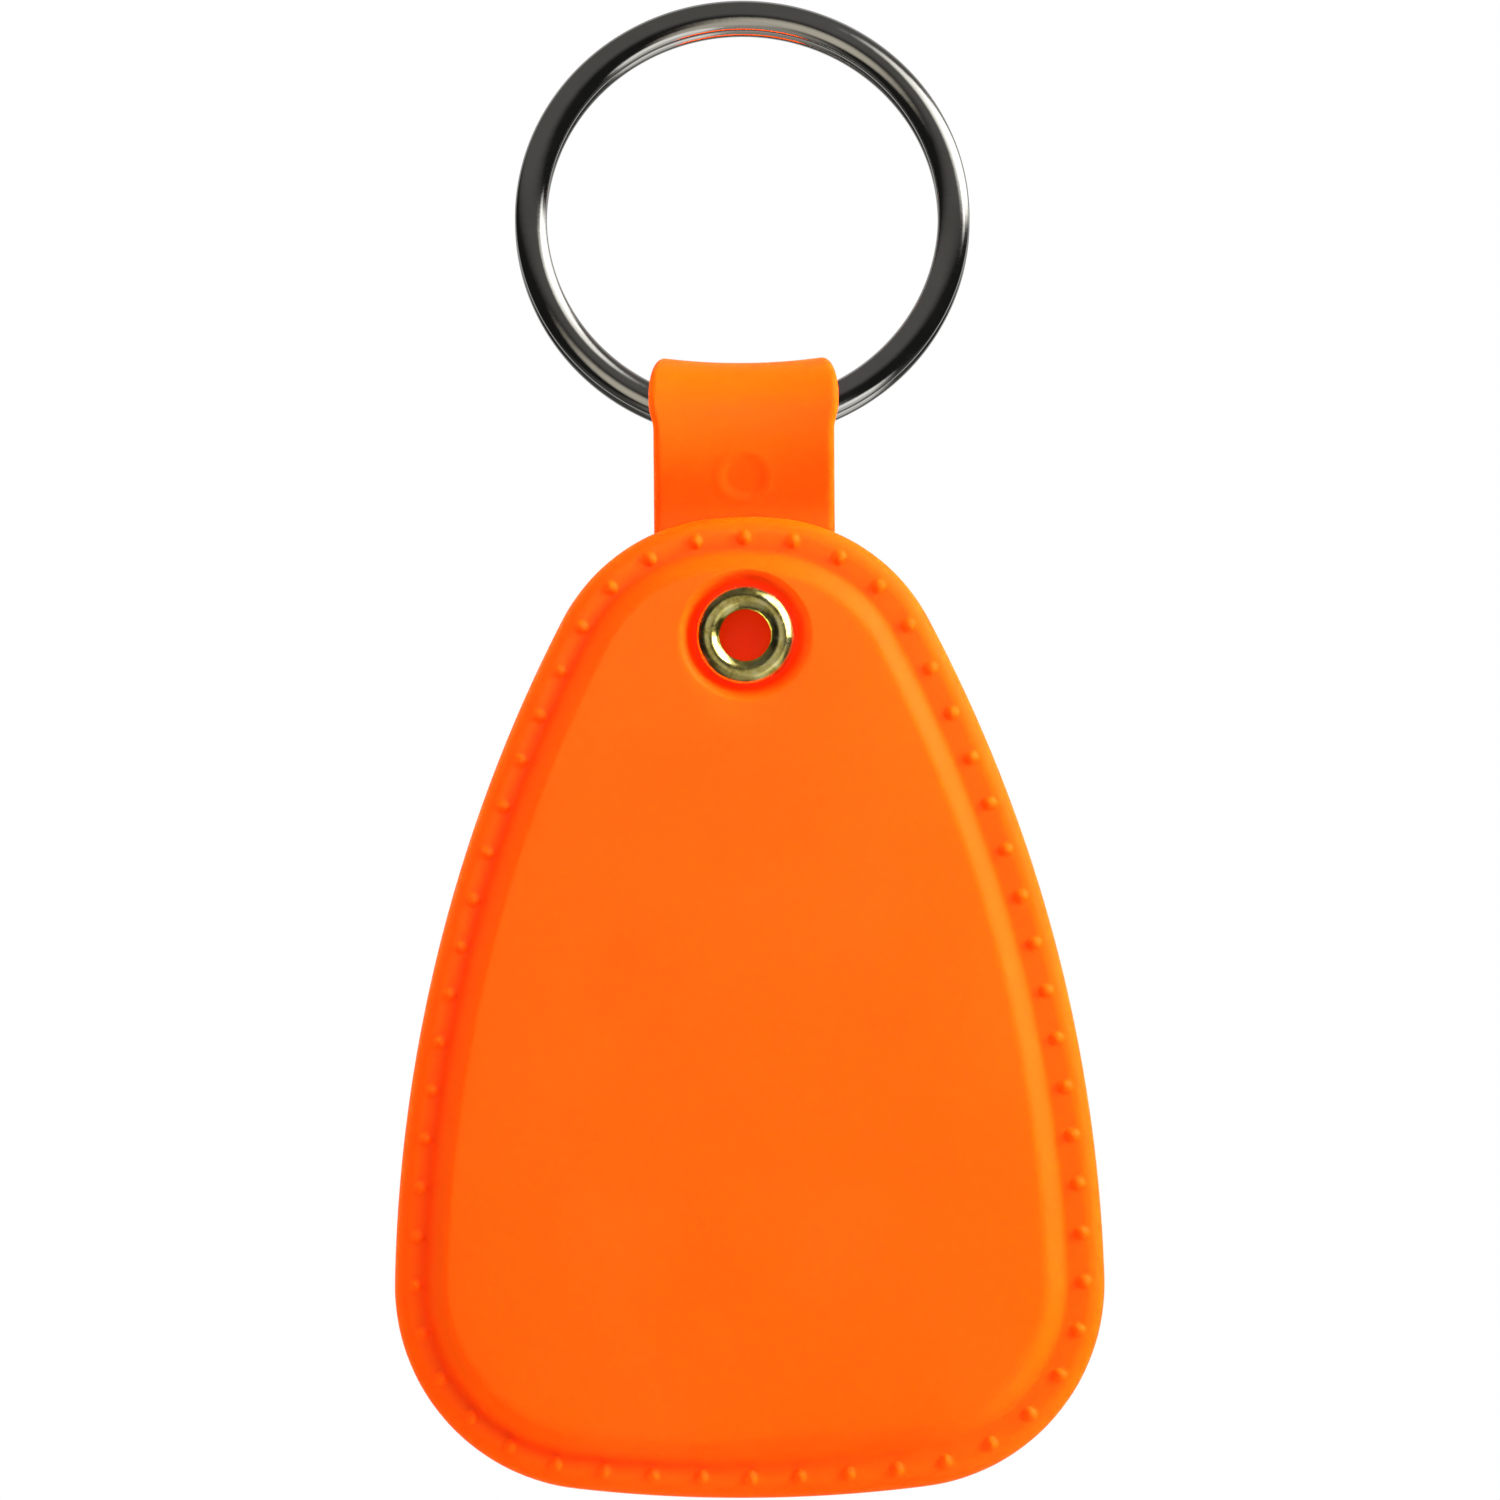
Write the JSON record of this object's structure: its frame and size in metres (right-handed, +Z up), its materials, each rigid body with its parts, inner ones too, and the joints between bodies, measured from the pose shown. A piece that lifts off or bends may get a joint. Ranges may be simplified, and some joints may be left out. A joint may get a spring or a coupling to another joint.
{
  "type": "key fob",
  "caption": "Flat pear-shaped key fob in moulded vinyl with a false-stitched border, hung from a split ring by a folded strap that an eyelet holds.",
  "frame": {"origin": "the hang point: the middle of the wire at the inside top of the split ring", "axes": "+Z up with the fob hanging straight down; the front of the fob faces -Y; +X to the viewer's right; the ring's top leans 17 degrees towards +Y"},
  "size_m": [0.039, 0.0109, 0.0823],
  "materials": {
    "ring_steel": "polished nickel plate",
    "strap_vinyl": "soft satin vinyl",
    "panel_vinyl": "soft satin vinyl",
    "pad_foam": "closed-cell foam",
    "eyelet_brass": "polished brass plate"
  },
  "bodies": {
    "ring": {"split_ring": "ring_steel"},
    "fob": {"hanger_strap": "strap_vinyl", "front_panel": "panel_vinyl", "back_panel": "panel_vinyl", "core_pad": "pad_foam", "eyelet": "eyelet_brass", "eyelet_washer": "eyelet_brass"}
  },
  "joints": [
    {"name": "fob_swing", "type": "hinge", "parent": "ring", "child": "fob", "pos_m": [0, -0.00638, -0.02087], "axis": [1, 0, 0], "range_deg": [-179, 145]}
  ]
}
